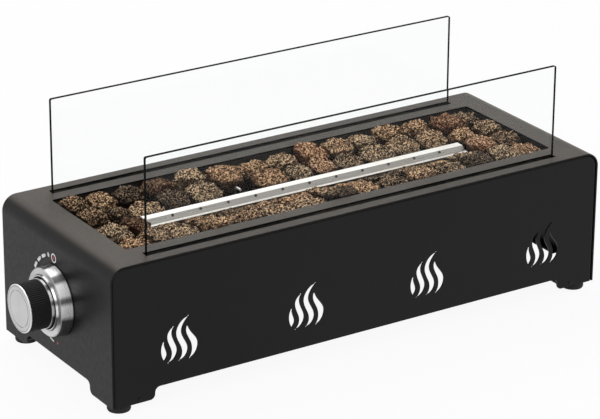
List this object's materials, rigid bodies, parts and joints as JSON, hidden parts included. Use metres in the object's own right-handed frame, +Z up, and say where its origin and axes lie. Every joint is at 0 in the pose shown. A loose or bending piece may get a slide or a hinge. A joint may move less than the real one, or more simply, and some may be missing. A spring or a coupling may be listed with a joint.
{
  "type": "tabletop gas fire pit",
  "caption": "Long low tabletop gas fire pit: black sheet casing with flame-shaped vents, a burner in lava rock between two glass wind guards, and a round control knob on one end.",
  "frame": {"origin": "bottom centre of the outer box, on the table under the rubber feet", "axes": "+X along the casing, away from the knob; +Y to the rear; +Z up"},
  "size_m": [0.5544, 0.1964, 0.2262],
  "materials": {
    "black_coating": "satin black heat-proof powder coat",
    "zinc_plate": "zinc plated sheet",
    "black_rubber": "matt black rubber",
    "zinc_fastener": "zinc plated fastener",
    "black_rivet": "black coated rivet",
    "seal_rubber": "black silicone profile",
    "clear_glass": "clear toughened glass with ground edges",
    "tray_steel": "black heat-proof coat",
    "burner_steel": "stainless steel sheet",
    "bright_chrome": "bright chrome plate",
    "grip_plastic": "black moulded plastic",
    "cap_metal": "spun aluminium",
    "stem_steel": "turned steel",
    "gas_brass": "turned brass",
    "pipe_aluminium": "drawn aluminium tube",
    "igniter_plastic": "black moulded plastic",
    "lead_rubber": "red silicone lead",
    "white_ceramic": "unglazed white ceramic",
    "lava_stone": "rough porous lava rock"
  },
  "bodies": {
    "casing": {"burner_lower_half": "burner_steel", "burner_nuts": "zinc_fastener", "burner_stand_left": "burner_steel", "burner_stand_right": "burner_steel", "burner_studs": "zinc_fastener", "burner_tray": "tray_steel", "burner_upper_half": "burner_steel", "corner_bracket_front_left": "zinc_plate", "corner_bracket_front_right": "zinc_plate", "corner_bracket_rear_left": "zinc_plate", "corner_bracket_rear_right": "zinc_plate", "electrode_bracket": "zinc_plate", "electrode_insulator": "white_ceramic", "electrode_rod": "burner_steel", "electrode_screw": "zinc_fastener", "foot_nuts": "zinc_fastener", "foot_screws": "zinc_fastener", "front_glass_channel": "zinc_plate", "front_glass_seal": "seal_rubber", "front_panel": "black_coating", "gas_jet": "gas_brass", "ignition_lead": "lead_rubber", "inlet_bracket": "zinc_plate", "inlet_fitting": "gas_brass", "inlet_locknut": "gas_brass", "knob_bezel": "bright_chrome", "lava_rocks_front": "lava_stone", "lava_rocks_left": "lava_stone", "lava_rocks_rear": "lava_stone", "lava_rocks_right": "lava_stone", "lead_clips": "zinc_plate", "leg_rivets": "black_rivet", "piezo_igniter": "igniter_plastic", "pipe_nuts": "gas_brass", "rear_glass_channel": "zinc_plate", "rear_glass_seal": "seal_rubber", "rear_panel": "black_coating", "rubber_foot_front_left": "black_rubber", "rubber_foot_front_right": "black_rubber", "rubber_foot_rear_left": "black_rubber", "rubber_foot_rear_right": "black_rubber", "supply_pipe": "pipe_aluminium", "tray_nuts": "zinc_fastener", "tray_studs": "zinc_fastener", "valve_body": "gas_brass", "valve_cover": "zinc_plate", "valve_screws": "zinc_fastener", "venturi_collar": "zinc_plate", "venturi_tube": "burner_steel", "wrap_shell": "black_coating"},
    "front_wind_guard": {"front_glass": "clear_glass"},
    "rear_wind_guard": {"rear_glass": "clear_glass"},
    "plug": {"valve_plug": "gas_brass", "valve_spring": "stem_steel"},
    "knob": {"knob_grip": "grip_plastic", "knob_skirt_ring": "bright_chrome", "knob_cap": "cap_metal", "valve_stem": "stem_steel"}
  },
  "joints": [
    {"name": "knob_turn", "type": "hinge", "parent": "casing", "child": "plug", "pos_m": [-0.24075, 0, 0.0745], "axis": [-1, 0, 0], "range_deg": [0, 180]},
    {"name": "knob_push", "type": "slide", "parent": "plug", "child": "knob", "axis": [1, 0, 0], "range_m": [0, 0.004], "stiffness_N_per_m": 1500, "springref_m": -0.003, "deforming": ["valve_spring"]},
    {"name": "front_glass_lift", "type": "slide", "parent": "casing", "child": "front_wind_guard", "axis": [0, 0, 1], "range_m": [0, 0.11]},
    {"name": "rear_glass_lift", "type": "slide", "parent": "casing", "child": "rear_wind_guard", "axis": [0, 0, 1], "range_m": [0, 0.11]}
  ]
}
